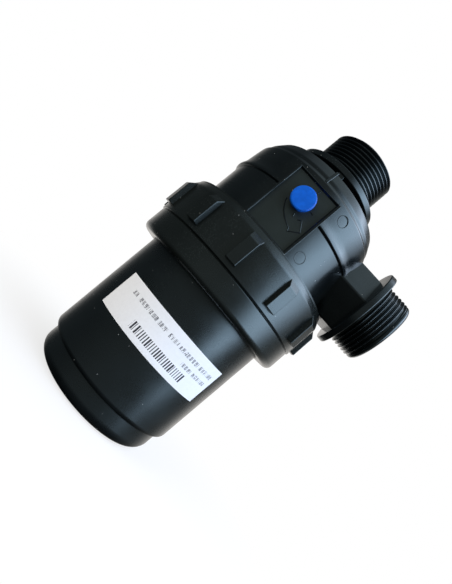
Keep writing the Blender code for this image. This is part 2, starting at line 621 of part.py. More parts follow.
def bowl_surface(angle, level):
    """Distance from the axis to the bowl's faceted wall, at an angle and a level."""
    slope = (BOWL_RADIUS - SHOULDER_RADIUS) / (BOWL_LENGTH - CUP_HEIGHT - SHOULDER_HEIGHT)
    half_facet = math.pi / BOWL_SEGMENTS
    from_middle = angle % (2 * half_facet) - half_facet
    radius = BOWL_RADIUS - slope * (BOWL_LENGTH - level)
    return radius * math.cos(half_facet) / math.cos(from_middle)


def make_label(look, parent):
    """Paper label round the front of the bowl, bent where the bowl's facets meet."""
    start = FRONT + LABEL_START
    end = FRONT + LABEL_END
    facet = math.tau / BOWL_SEGMENTS
    corners = range(math.ceil(start / facet), math.floor(end / facet) + 1)
    top = LABEL_BOTTOM + LABEL_HEIGHT
    bm = bmesh.new()
    columns = []
    for angle in [start, *(facet * corner for corner in corners), end]:
        column = []
        for level, lift in ((LABEL_BOTTOM, GAP), (LABEL_BOTTOM, GAP + LABEL_THICKNESS),
                            (top, GAP + LABEL_THICKNESS), (top, GAP)):
            radius = bowl_surface(angle, level) + lift
            column.append(bm.verts.new((radius * math.cos(angle), radius * math.sin(angle), level)))
        columns.append(column)
    for column, following in zip(columns, columns[1:]):
        for side in range(4):
            after = (side + 1) % 4
            bm.faces.new((column[side], column[after], following[after], following[side]))
    bm.faces.new(columns[0])
    bm.faces.new(columns[-1])
    return finish(new_object("label", bm), look, parent)


def main():
    """Clear the scene and build the filter."""
    for old in list(bpy.data.objects):
        bpy.data.objects.remove(old)
    black = material("black_polypropylene", (0.012, 0.012, 0.013), 0.38)
    black_nut = material("black_nut_polypropylene", (0.012, 0.012, 0.013), 0.36)
    black_bowl = material("black_bowl_polypropylene", (0.011, 0.011, 0.012), 0.4)
    cage_grey = material("grey_polypropylene", (0.16, 0.17, 0.18), 0.45)
    steel = material("stainless_mesh", (0.55, 0.55, 0.54), 0.35, 1.0)
    rubber = material("black_rubber", (0.02, 0.02, 0.02), 0.7)
    seal_rubber = material("cartridge_rubber", (0.025, 0.025, 0.025), 0.7)
    blue = material("blue_plastic", (0.01, 0.08, 0.55), 0.35)
    paper = material("white_paper", (0.8, 0.8, 0.78), 0.6)
    root = bpy.data.objects.new("suction_filter", None)
    bpy.context.collection.objects.link(root)
    make_head(black, root)
    make_plug(blue, root)
    make_nut(black_nut, root)
    make_bowl(black_bowl, root)
    make_bowl_seal(rubber, root)
    make_cage(cage_grey, root)
    make_mesh_sleeve(steel, root)
    make_cartridge_seal(seal_rubber, root)
    make_label(paper, root)


main()
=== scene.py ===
"""Looks for the suction filter.

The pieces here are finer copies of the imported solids, in the same places: the head with its cut port
threads, the ring nut, the bowl, the paper label and the blue plug. Outlines are in millimetres as
(radius, level, corner round), with levels above the bottom of the bowl, or along the side port's axis for
what is turned about that port.
"""
import math

import bmesh
import bpy
from mathutils import Matrix, Vector


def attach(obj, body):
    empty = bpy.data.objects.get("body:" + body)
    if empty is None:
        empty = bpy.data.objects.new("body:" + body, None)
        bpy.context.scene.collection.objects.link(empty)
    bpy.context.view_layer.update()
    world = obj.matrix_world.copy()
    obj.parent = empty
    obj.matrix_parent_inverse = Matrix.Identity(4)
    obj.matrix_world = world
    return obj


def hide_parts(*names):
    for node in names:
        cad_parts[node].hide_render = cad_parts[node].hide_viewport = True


MM = 0.001
UP = Vector((0.0, 0.0, 1.0))
NO_TURN = Matrix.Identity(4)

# Angles in degrees past which an edge shades sharp
CREASE_ANGLE = 32.0
THREAD_CREASE = 60.0

# Places that several pieces share, in millimetres
PORT_AXIS = 138.0
PORT_BORE = 14.5
AXIAL_FLANGE_RADIUS = 27.6
SIDE_FLANGE_RADIUS = 26.0
HEAD_RADIUS = 43.4
DOME_RADIUS = 43.1
HEAD_BORE = 39.4
PANEL_FACE = 44.4
PANEL_FLOOR = 42.7
PANEL_HALF = 12.4
PANEL_LOW = 117.5
PANEL_HIGH = 150.9
PANEL_RIB = 1.4
PANEL_END_RIB = 1.2
PANEL_SLOPE = 2.0
PANEL_BACK = 39.4
PLUG_LEVEL = 140.1
PLUG_RADIUS = 6.15
PLUG_FACE = 47.2
EJECTOR_RADIUS = 2.9
WEB_COUNT = 4

# Levels of the two ports
AXIAL_FLANGE_BACK = 171.1
AXIAL_FLANGE_FACE = 174.8
AXIAL_END = 197.8
SIDE_FLANGE_BACK = 56.0
SIDE_FLANGE_FACE = 59.7
SIDE_END = 76.6
ALONG_SIDE_PORT = Matrix.Translation((0.0, 0.0, PORT_AXIS * MM)) @ Matrix.Rotation(math.pi / 2, 4, "Y")

# Pipe thread of the ports, with the lower flank of its section as (radius, rise)
PIPE_PITCH = 2.309
PIPE_ROOT = 19.476
PIPE_STEPS = 144
PIPE_FLANK = [(19.1, -1.13), (19.5, -0.97), (20.35, -0.52), (20.75, -0.31), (20.94, -0.1)]

# Coarse thread between the nut and the skirt, with its lower flank as (height, rise)
COARSE_PITCH = 8.0
COARSE_TURNS = 1.5
COARSE_PHASE = math.radians(2.6)
COARSE_STEPS = 96
COARSE_FADE = 0.08
COARSE_FLANK = [(0.0, -1.7), (0.5, -1.65), (2.0, -1.0), (2.2, -0.8)]

# Lugs of the ring nut
LUG_COUNT = 12
LUG_PHASE = math.radians(1.6)
LUG_HALF = 3.6
LUG_TOP_HALF = 3.1

# Tapered wall of the bowl
BOWL_RADIUS = 42.3
BOWL_WALL_TOP = 85.9
BOWL_TAPER = 0.7
BOWL_TAPER_HEIGHT = 68.8

# Light of the room, as plain colours of its parts
ROOM_LIGHT = (0.2, 0.2, 0.19)
DARK_SIDE = (0.05, 0.06, 0.065)
WINDOW_LIGHT = (4.4, 5.15, 6.4)
CEILING_LIGHT = (0.6, 0.7, 0.75)
WALL_LIGHT = (1.1, 1.05, 1.0)

# Lamp at the left, in watts and metres
FILL_POWER = 14.0
FILL_SIZE = 0.8
FILL_COLOUR = (1.0, 0.98, 0.95)
FILL_PLACE = (-0.85, -0.8, 0.5)
FILL_TARGET = (0.0, 0.0, 0.07)

# Places in the room in degrees, with azimuth 0 in front of the filter and 90 at the side port
WINDOW_AZIMUTH = 72.0
SILL_SLOPE = 0.75
LEAN_START = 25.0
LEAN_SLOPE = 1.6
WINDOW_SOFTNESS = 1.5

# Floor, in metres, with the share of plain white in it near the filter
FLOOR_HALF = 3.0
SHADOW_NEAR = 0.03
SHADOW_FAR = 0.15
SHADOW_WHITE = 0.7

# Camera of the photograph, in millimetres and in pixels of its picture
CAMERA_PLACE = (28.96, -225.13, 70.26)
CAMERA_RIGHT = (0.641, 0.0, 0.767)
CAMERA_DOWN = (0.767, 0.0, -0.641)
CAMERA_TURN = (-0.13633, 0.00260, -0.00665)
FOCAL_LENGTH = 411.42
PICTURE_HEIGHT = 584.0
SENSOR_WIDTH = 36.0

# Label on the bowl
LABEL_START = -39.0
LABEL_END = 61.0
LABEL_LOW = 39.9
LABEL_HEIGHT = 20.4
LABEL_LENGTH = 73.5
LABEL_THICKNESS = 0.12
LABEL_GAP = 0.04


def to_object(name, bm):
    """Turn a bmesh into an object with its faces pointing out."""
    bmesh.ops.recalc_face_normals(bm, faces=bm.faces)
    mesh = bpy.data.meshes.new(name)
    bm.to_mesh(mesh)
    bm.free()
    made = bpy.data.objects.new(name, mesh)
    bpy.context.collection.objects.link(made)
    return made


def turned(name, outline, segments=160, place=NO_TURN):
    """Round the corners of an outline and spin it about Z.

    An outline that begins on the axis makes a solid, and any other is closed into a ring.
    """
    bm = bmesh.new()
    verts = [bm.verts.new((point[0] * MM, 0.0, point[1] * MM)) for point in outline]
    for one, other in zip(verts, verts[1:]):
        bm.edges.new((one, other))
    if outline[0][0] > 0.0:
        bm.edges.new((verts[-1], verts[0]))
    rounds = [(vert, point[2]) for vert, point in zip(verts, outline) if len(point) > 2]
    for size in sorted({size for _, size in rounds}):
        corners = [vert for vert, own in rounds if own == size]
        bmesh.ops.bevel(bm, geom=corners, offset=size * MM, segments=3 + int(size), profile=0.5,
                        affect="VERTICES", material=-1)
    bmesh.ops.spin(bm, geom=bm.verts[:] + bm.edges[:], cent=(0, 0, 0), axis=UP, angle=math.tau,
                   steps=segments, use_merge=True)
    bmesh.ops.remove_doubles(bm, verts=bm.verts, dist=0.002 * MM)
    bmesh.ops.transform(bm, matrix=place, verts=bm.verts)
    return to_object(name, bm)


def both_flanks(lower):
    """A thread's section from its lower flank, which is mirrored for the upper one."""
    return lower + [(radius, -rise) for radius, rise in reversed(lower)]


def swept_ridge(name, section, start, pitch, turns, phase=0.0, place=NO_TURN, steps=PIPE_STEPS, fade=0.25):
    """Sweep a thread's section up a right-hand helix, and let its height fade out at both ends."""
    bm = bmesh.new()
    count = round(steps * turns)
    face = bm.faces.new([bm.verts.new((radius * MM, 0.0, rise * MM)) for radius, rise in section])
    bmesh.ops.spin(bm, geom=[face], cent=(0, 0, 0), axis=UP, dvec=(0, 0, pitch * MM / steps),
                   angle=math.tau * count / steps, steps=count)
    foot = section[0][0] * MM
    mean = pitch * MM / math.tau
    for vert in bm.verts:
        around = math.atan2(vert.co.y, vert.co.x)
        laps = round((vert.co.z / mean - around) / math.tau)
        turned_by = min(max((around + math.tau * laps) / math.tau, 0.0), turns)
        height = min(1.0, turned_by / fade, (turns - turned_by) / fade)
        radius = math.hypot(vert.co.x, vert.co.y)
        shrink = (foot + (radius - foot) * math.sin(height * math.pi / 2)) / radius
        vert.co.x *= shrink
        vert.co.y *= shrink
    spot = place @ Matrix.Translation((0.0, 0.0, start * MM)) @ Matrix.Rotation(phase, 4, "Z")
    bmesh.ops.transform(bm, matrix=spot, verts=bm.verts)
    return to_object(name, bm)


def port_thread(name, start, end, phase, place=NO_TURN):
    """The pipe thread of a port between two levels."""
    turns = (end - start) / PIPE_PITCH
    return swept_ridge(name, both_flanks(PIPE_FLANK), start, PIPE_PITCH, turns, phase, place)


def coarse_thread(name, foot, way, start):
    """The coarse thread on a foot's radius, with way 1 for outwards and -1 for inwards."""
    section = both_flanks([(foot + way * height, rise) for height, rise in COARSE_FLANK])
    return swept_ridge(name, section, start, COARSE_PITCH, COARSE_TURNS, COARSE_PHASE,
                       steps=COARSE_STEPS, fade=COARSE_FADE)


def box_between(low, high):
    """A new bmesh with a box between two corners in millimetres."""
    bm = bmesh.new()
    size = (Vector(high) - Vector(low)) * MM
    middle = (Vector(high) + Vector(low)) / 2 * MM
    place = Matrix.Translation(middle) @ Matrix.Diagonal((*size, 1.0))
    bmesh.ops.create_cube(bm, size=1.0, matrix=place)
    return bm


def prism(name, outline, start, end, place, edge_round=0.0):
    """Extrude an outline of (u, v) from start to end, with place(u, v, w) giving its points."""
    bm = bmesh.new()
    face = bm.faces.new([bm.verts.new(Vector(place(u, v, start)) * MM) for u, v in outline])
    far = bmesh.ops.extrude_face_region(bm, geom=[face])["geom"]
    shift = (Vector(place(0, 0, end)) - Vector(place(0, 0, start))) * MM
    bmesh.ops.translate(bm, verts=[part for part in far if isinstance(part, bmesh.types.BMVert)], vec=shift)
    if edge_round:
        bmesh.ops.bevel(bm, geom=bm.edges[:], offset=edge_round * MM, segments=3, profile=0.5,
                        affect="EDGES", clamp_overlap=True, material=-1)
    return to_object(name, bm)


def standing_at_front(radius, level, across):
    """A point of an upright plate at the front, from its radius, level and offset to the right."""
    return across, -radius, level


def cut(target, tool):
    """Cut a tool out of a piece for good."""
    modifier = target.modifiers.new("cut", "BOOLEAN")
    modifier.operation = "DIFFERENCE"
    modifier.solver = "EXACT"
    modifier.object = tool
    depsgraph = bpy.context.evaluated_depsgraph_get()
    result = bpy.data.meshes.new_from_object(target.evaluated_get(depsgraph))
    target.modifiers.clear()
    target.data = result
    bpy.data.objects.remove(tool)
    return target


def repeated(made, count, phase=0.0):
    """Repeat a piece's mesh evenly round Z in the same object."""
    bm = bmesh.new()
    for index in range(count):
        copy = made.data.copy()
        copy.transform(Matrix.Rotation(phase + math.tau * index / count, 4, "Z"))
        bm.from_mesh(copy)
        bpy.data.meshes.remove(copy)
    bm.to_mesh(made.data)
    bm.free()
    return made


def dress(piece, body, look, stands_for=None, crease=CREASE_ANGLE):
    """Give a finished piece its shading, material and body, and hide the solid it stands for."""
    piece.data.materials.clear()
    piece.data.materials.append(look)
    piece.data.shade_smooth()
    piece.data.set_sharp_from_angle(angle=math.radians(crease))
    even = piece.modifiers.new("even_normals", "WEIGHTED_NORMAL")
    even.keep_sharp = True
    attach(piece, body)
    if stands_for:
        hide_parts(stands_for)
    return piece


class Nodes:
    """A node tree with short ways to add and join nodes."""

    def __init__(self, tree):
        self.tree = tree

    def add(self, kind, **settings):
        """A new node with the given settings."""
        node = self.tree.nodes.new(kind)
        for key, value in settings.items():
            setattr(node, key, value)
        return node

    def join(self, value, socket):
        """Link a socket's value to another socket, or set a plain value there."""
        if isinstance(value, bpy.types.NodeSocket):
            self.tree.links.new(value, socket)
        else:
            socket.default_value = value

    def solve(self, operation, first, second=0.0, third=0.0):
        """A math node's result for up to three values."""
        node = self.add("ShaderNodeMath", operation=operation)
        for socket, value in zip(node.inputs, (first, second, third)):
            self.join(value, socket)
        return node.outputs[0]

    def spread(self, value, low, high, to_low=0.0, to_high=1.0):
        """Map a range of values to another, held at its ends."""
        node = self.add("ShaderNodeMapRange")
        self.join(value, node.inputs["Value"])
        for name, number in (("From Min", low), ("From Max", high), ("To Min", to_low), ("To Max", to_high)):
            node.inputs[name].default_value = number
        return node.outputs["Result"]

    def blend(self, amount, first, second):
        """Mix two colours by an amount from nothing to one."""
        node = self.add("ShaderNodeMix", data_type="RGBA")
        self.join(amount, node.inputs[0])
        self.join(first, node.inputs[6])
        self.join(second, node.inputs[7])
        return node.outputs[2]


class Shader(Nodes):
    """A new material with patterns that follow the piece's own place."""

    def __init__(self, name):
        self.material = bpy.data.materials.new(name)
        self.material.use_nodes = True
        super().__init__(self.material.node_tree)
        self.surface = self.tree.nodes["Principled BSDF"]
        self.place = self.add("ShaderNodeTexCoord").outputs["Object"]

    def noise(self, scale, detail=3.0, rough=0.55):
        """Cloudy noise with so many cells to the metre."""
        node = self.add("ShaderNodeTexNoise")
        self.join(self.place, node.inputs["Vector"])
        node.inputs["Scale"].default_value = scale
        node.inputs["Detail"].default_value = detail
        node.inputs["Roughness"].default_value = rough
        return node.outputs["Fac"]

    def bump(self, height, distance, strength=1.0, before=None):
        """A bumped normal, on top of an earlier one if there is one."""
        node = self.add("ShaderNodeBump")
        self.join(height, node.inputs["Height"])
        node.inputs["Distance"].default_value = distance
        node.inputs["Strength"].default_value = strength
        if before:
            self.join(before, node.inputs["Normal"])
        return node.outputs["Normal"]

    def specks(self, scale, size, share):
        """Small round dust specks in a share of the cells of a random pattern."""
        cells = self.add("ShaderNodeTexVoronoi")
        self.join(self.place, cells.inputs["Vector"])
        cells.inputs["Scale"].default_value = scale
        near = self.solve("LESS_THAN", cells.outputs["Distance"], size)
        chosen = self.add("ShaderNodeSeparateColor")
        self.join(cells.outputs["Color"], chosen.inputs[0])
        return self.solve("MULTIPLY", near, self.solve("LESS_THAN", chosen.outputs[0], share))


def moulded_black(name, colour, roughness, grain):
    """Black polypropylene with fine grain, faint flow marks, handling haze and a little dust."""
    made = Shader(name)
    haze = made.noise(55.0, 4.0)
    fine = made.noise(2600.0, 2.0)
    dust = made.specks(230.0, 0.042, 0.45)
    tint = made.blend(made.spread(haze, 0.35, 0.7), (*colour, 1.0), (*(part * 1.5 for part in colour), 1.0))
    made.join(made.blend(dust, tint, (0.3, 0.31, 0.3, 1.0)), made.surface.inputs["Base Color"])
    worn = made.spread(haze, 0.3, 0.75, roughness - 0.04, roughness + 0.06)
    gritty = made.solve("ADD", worn, made.spread(fine, 0.3, 0.7, -0.03, 0.03))
    made.join(gritty, made.surface.inputs["Roughness"])
    flow = made.bump(made.noise(45.0, 2.0), 0.25 * MM, 0.6)
    made.join(made.bump(fine, grain * MM, 1.0, flow), made.surface.inputs["Normal"])
    made.surface.inputs["IOR"].default_value = 1.6
    # Reflections are tinted blue: a painted bluish cast on every highlight, standing in for the window's
    # bluish light
    made.surface.inputs["Specular Tint"].default_value = (0.76, 0.96, 1.0, 1.0)
    return made.material


def blue_plug_plastic():
    """Smooth saturated blue plastic with a slight mottle."""
    made = Shader("blue_plug_plastic")
    mottle = made.noise(420.0, 3.0)
    made.join(made.blend(made.spread(mottle, 0.35, 0.65), (0.001, 0.078, 0.42, 1.0), (0.002, 0.1, 0.52, 1.0)),
              made.surface.inputs["Base Color"])
    made.join(made.spread(mottle, 0.3, 0.7, 0.4, 0.5), made.surface.inputs["Roughness"])
    made.join(made.bump(made.noise(900.0), 0.02 * MM, 0.6), made.surface.inputs["Normal"])
    made.surface.inputs["Specular IOR Level"].default_value = 0.3
    return made.material


def label_paper():
    """White paper with generic printed marks: two broken grey rules and a block of upright bars."""
    made = Shader("label_paper")
    flat = made.add("ShaderNodeUVMap", uv_map="label_flat")
    split = made.add("ShaderNodeSeparateXYZ")
    made.join(flat.outputs[0], split.inputs[0])
    along = made.solve("MULTIPLY", split.outputs[0], LABEL_LENGTH)
    across = made.solve("MULTIPLY", split.outputs[1], LABEL_HEIGHT)

    def within(value, low, high):
        """One where a value lies between two places, and nothing elsewhere."""
        above = made.solve("GREATER_THAN", value, low)
        return made.solve("MULTIPLY", above, made.solve("LESS_THAN", value, high))

    def strokes(value, width, least, more):
        """One stroke in each step of a row, which fills at least a share of it and at most more on top."""
        place = made.solve("DIVIDE", value, width)
        step = made.solve("FLOOR", place)
        chance = made.add("ShaderNodeTexWhiteNoise", noise_dimensions="1D")
        made.join(step, chance.inputs["W"])
        share = made.solve("MULTIPLY_ADD", chance.outputs["Value"], more, least)
        return made.solve("LESS_THAN", made.solve("SUBTRACT", place, step), share)

    bars = made.solve("MULTIPLY", within(along, 21.3, 57.0), within(across, 2.9, 7.3))
    bars = made.solve("MULTIPLY", bars, strokes(along, 1.3, 0.22, 0.55))
    rule = made.solve("MULTIPLY", within(along, 9.0, 69.5), within(across, 13.7, 15.9))
    second = made.solve("MULTIPLY", within(along, 50.5, 69.5), within(across, 9.2, 11.2))
    rules = made.solve("MAXIMUM", rule, second)
    broken = made.solve("MULTIPLY", strokes(along, 1.9, 0.6, 0.2), strokes(along, 0.63, 0.5, 0.4))
    broken = made.solve("MULTIPLY", broken, strokes(along, 7.3, 0.7, 0.25))
    broken = made.solve("MULTIPLY", broken, made.solve("GREATER_THAN", made.noise(1500.0, 0.0), 0.36))
    rules = made.solve("MULTIPLY", rules, broken)
    ink = made.solve("MAXIMUM", bars, made.solve("MULTIPLY", rules, 0.9))
    fibre = made.noise(700.0, 4.0)
    paper = made.blend(fibre, (0.74, 0.74, 0.75, 1.0), (0.84, 0.84, 0.85, 1.0))
    made.join(made.blend(ink, paper, (0.02, 0.02, 0.03, 1.0)), made.surface.inputs["Base Color"])
    made.join(made.spread(fibre, 0.3, 0.7, 0.5, 0.65), made.surface.inputs["Roughness"])
    made.join(made.bump(fibre, 0.015 * MM, 0.6), made.surface.inputs["Normal"])
    return made.material


def grey_cage_plastic():
    """Grey polypropylene of the cartridge cage, with fine grain."""
    made = Shader("grey_cage_plastic")
    cloud = made.noise(90.0, 3.0)
    made.join(made.blend(cloud, (0.14, 0.15, 0.16, 1.0), (0.19, 0.2, 0.21, 1.0)),
              made.surface.inputs["Base Color"])
    made.join(made.spread(cloud, 0.3, 0.7, 0.42, 0.52), made.surface.inputs["Roughness"])
    made.join(made.bump(made.noise(2400.0), 0.02 * MM), made.surface.inputs["Normal"])
    return made.material


def woven_steel():
    """Fifty wires to the inch of woven stainless steel, as crossed ripples on the sleeve."""
    made = Shader("woven_steel")
    split = made.add("ShaderNodeSeparateXYZ")
    made.join(made.place, split.inputs[0])
    around = made.solve("ARCTAN2", split.outputs[1], split.outputs[0])
    weft = made.solve("SINE", made.solve("MULTIPLY", split.outputs[2], math.tau / (0.508 * MM)))
    warp = made.solve("SINE", made.solve("MULTIPLY", around, 320.0))
    weave = made.solve("MAXIMUM", weft, warp)
    made.join(made.blend(made.spread(weave, -0.6, 0.6), (0.05, 0.05, 0.05, 1.0), (0.58, 0.58, 0.57, 1.0)),
              made.surface.inputs["Base Color"])
    made.join(made.spread(weave, -1.0, 1.0, 0.6, 0.3), made.surface.inputs["Roughness"])
    made.join(made.bump(weave, 0.08 * MM), made.surface.inputs["Normal"])
    made.surface.inputs["Metallic"].default_value = 1.0
    return made.material


def seal_rubber(name, colour):
    """Dull black rubber with a faint bloom."""
    made = Shader(name)
    bloom = made.noise(240.0, 4.0)
    made.join(made.blend(bloom, (*colour, 1.0), (*(part * 1.8 for part in colour), 1.0)),
              made.surface.inputs["Base Color"])
    made.join(made.spread(bloom, 0.3, 0.7, 0.6, 0.78), made.surface.inputs["Roughness"])
    made.join(made.bump(made.noise(3000.0), 0.015 * MM), made.surface.inputs["Normal"])
    return made.material


def port_bore(start, end):
    """A tool that bores the side port between two distances from the main axis."""
    outline = [(0.0, start), (PORT_BORE, start), (PORT_BORE, end), (0.0, end)]
    return turned("port_bore", outline, 96, ALONG_SIDE_PORT)


def head_shell():
    """Domed casing with skirt, bead, dome, rim recess, axial neck and flange, and the inside spigot."""
    skirt = [(43.2, 91.2, 0.4), (45.5, 91.2, 0.4), (45.5, 109.1, 0.6), (HEAD_RADIUS, 111.2, 0.6)]
    bead = [(HEAD_RADIUS, 137.9, 0.3), (44.6, 138.4, 0.5), (44.6, 139.8, 0.8), (HEAD_RADIUS, 142.4, 2.2)]
    dome = [(DOME_RADIUS, 148.4, 3.0), (42.5, 154.7, 0.6), (41.1, 156.1, 0.7), (40.9, 158.1, 0.8),
            (38.4, 162.3, 0.9), (37.3, 164.0, 0.5)]
    recess = [(34.6, 164.1, 0.5), (34.6, 155.0, 0.6), (22.0, 155.0, 0.8)]
    flange = [(22.0, AXIAL_FLANGE_BACK, 0.8), (AXIAL_FLANGE_RADIUS, AXIAL_FLANGE_BACK, 0.6),
              (AXIAL_FLANGE_RADIUS, AXIAL_FLANGE_FACE, 0.6)]
    pipe = [(PIPE_ROOT, AXIAL_FLANGE_FACE, 0.3), (PIPE_ROOT, AXIAL_END - 1.3, 0.2), (18.3, AXIAL_END, 0.4),
            (PORT_BORE, AXIAL_END, 0.6)]
    spigot = [(PORT_BORE, 109.2, 0.5), (20.5, 109.2, 0.5), (20.5, 151.4, 0.8)]
    chamber = [(HEAD_BORE, 151.4, 5.0), (HEAD_BORE, 103.0), (43.2, 99.2)]
    shell = turned("head_shell", skirt + bead + dome + recess + flange + pipe + spigot + chamber)
    cut(shell, port_bore(30.0, 50.0))
    inside = PANEL_HALF + 0.7
    pocket = box_between((-inside, -50.0, PANEL_LOW - 0.5), (inside, -41.0, PANEL_HIGH + 1.2))
    return cut(shell, to_object("panel_pocket", pocket))


def panel_frame():
    """The framed panel on the front: a slab sunk inside its ribs, whose top slopes into the dome."""
    half = PANEL_HALF + PANEL_RIB
    bm = box_between((-half, -PANEL_FACE, PANEL_LOW - PANEL_END_RIB),
                     (half, -PANEL_BACK, PANEL_HIGH + PANEL_SLOPE))
    front = [face for face in bm.faces if face.normal.y < -0.9]
    for vert in bm.verts:
        if vert.co.z > PORT_AXIS * MM and vert in front[0].verts[:]:
            vert.co.y = -43.8 * MM
            vert.co.z = (PANEL_HIGH + 0.6) * MM
        elif vert.co.z > PORT_AXIS * MM:
            vert.co.y = -39.8 * MM
    bmesh.ops.inset_individual(bm, faces=front, thickness=0.5 * MM)
    for vert in front[0].verts:
        vert.co.x = math.copysign((PANEL_HALF + 0.2) * MM, vert.co.x)
        vert.co.z = (PANEL_HIGH + 0.2 if vert.co.z > PORT_AXIS * MM else PANEL_LOW - 0.2) * MM
    floor = bmesh.ops.extrude_discrete_faces(bm, faces=front)["faces"][0]
    for vert in floor.verts:
        vert.co.x = (PANEL_HALF - 0.3 if vert.co.x > 0.0 else -PANEL_HALF - 0.5) * MM
        vert.co.y = -PANEL_FLOOR * MM
        vert.co.z = (PANEL_HIGH - 0.3 if vert.co.z > PORT_AXIS * MM else PANEL_LOW + 0.3) * MM
    bmesh.ops.bevel(bm, geom=bm.edges[:], offset=0.2 * MM, segments=3, profile=0.5, affect="EDGES",
                    clamp_overlap=True, material=-1)
    return to_object("panel_frame", bm)


def side_neck():
    """Six-sided neck of the side port, trimmed to the casing and bored through."""
    bm = bmesh.new()
    corners = [(-20.8, -0.1), (-9.8, -19.8), (9.8, -19.8), (20.8, -0.1), (9.8, 16.8), (-9.8, 16.8)]
    verts = [bm.verts.new((31.0 * MM, across * MM, (PORT_AXIS + rise) * MM)) for across, rise in corners]
    bm.faces.new(verts)
    bmesh.ops.bevel(bm, geom=verts, offset=0.7 * MM, segments=3, profile=0.5, affect="VERTICES", material=-1)
    far = bmesh.ops.extrude_face_region(bm, geom=bm.faces[:])["geom"]
    bmesh.ops.translate(bm, verts=[part for part in far if isinstance(part, bmesh.types.BMVert)],
                        vec=(26.5 * MM, 0.0, 0.0))
    neck = to_object("side_neck", bm)
    cut(neck, turned("casing_trim", [(0.0, 100.0), (41.3, 100.0), (41.3, 175.0), (0.0, 175.0)], 160))
    return cut(neck, port_bore(30.0, 60.0))


def label_sheet():
    """Paper label bent round the bowl, with a flat map of its length and height."""
    bm = bmesh.new()
    bmesh.ops.create_grid(bm, x_segments=90, y_segments=6, size=0.5)
    flat = bm.loops.layers.uv.new("label_flat")
    for face in bm.faces:
        for loop in face.loops:
            loop[flat].uv = (loop.vert.co.x + 0.5, loop.vert.co.y + 0.5)
    for vert in bm.verts:
        angle = math.radians(LABEL_START + (LABEL_END - LABEL_START) * (vert.co.x + 0.5))
        level = LABEL_LOW + LABEL_HEIGHT * (vert.co.y + 0.5)
        radius = BOWL_RADIUS - BOWL_TAPER * (BOWL_WALL_TOP - level) / BOWL_TAPER_HEIGHT + LABEL_GAP
        vert.co = Vector((radius * math.sin(angle), -radius * math.cos(angle), level)) * MM
    sheet = to_object("label_sheet", bm)
    thick = sheet.modifiers.new("thickness", "SOLIDIFY")
    thick.thickness = LABEL_THICKNESS * MM
    thick.offset = 1.0
    return sheet


def raised_line(name, points, radius, closed=False):
    """A thin raised line through points in millimetres, as a half-sunk round bead."""
    curve = bpy.data.curves.new(name, "CURVE")
    curve.dimensions = "3D"
    curve.bevel_depth = radius * MM
    curve.bevel_resolution = 2
    spline = curve.splines.new("POLY")
    spline.points.add(len(points) - 1)
    for spot, point in zip(spline.points, points):
        spot.co = (*(Vector(point) * MM), 1.0)
    spline.use_cyclic_u = closed
    holder = bpy.data.objects.new(name, curve)
    bpy.context.collection.objects.link(holder)
    depsgraph = bpy.context.evaluated_depsgraph_get()
    mesh = bpy.data.meshes.new_from_object(holder.evaluated_get(depsgraph))
    bpy.data.objects.remove(holder)
    made = bpy.data.objects.new(name, mesh)
    bpy.context.collection.objects.link(made)
    return made


def on_floor(points):
    """Points of the panel's floor from (x, level) pairs."""
    return [(across, -PANEL_FLOOR, level) for across, level in points]


def flow_arrow():
    """Outline of the curved arrow that shows the way to the side port."""
    bend = [(-5.9, 135.9), (-5.3, 134.5), (-4.5, 133.3), (-2.7, 131.1), (-0.1, 129.2), (2.8, 127.8),
            (5.5, 126.8)]
    head = [(6.0, 125.4), (10.6, 129.2), (8.9, 131.3), (6.9, 133.8), (5.4, 132.6)]
    return raised_line("flow_arrow", on_floor(bend + head), 0.27)


def ejector_mark(name, angle, level):
    """Round ejector mark on the casing: a fine ring that follows its curve."""
    points = []
    radius = HEAD_RADIUS - 0.02 if level < PORT_AXIS else DOME_RADIUS - 0.02
    for step in range(36):
        turn = math.tau * step / 36
        across = math.radians(angle) + EJECTOR_RADIUS * math.cos(turn) / HEAD_RADIUS
        height = level + EJECTOR_RADIUS * math.sin(turn)
        points.append((radius * math.sin(across), -radius * math.cos(across), height))
    return raised_line(name, points, 0.19, True)


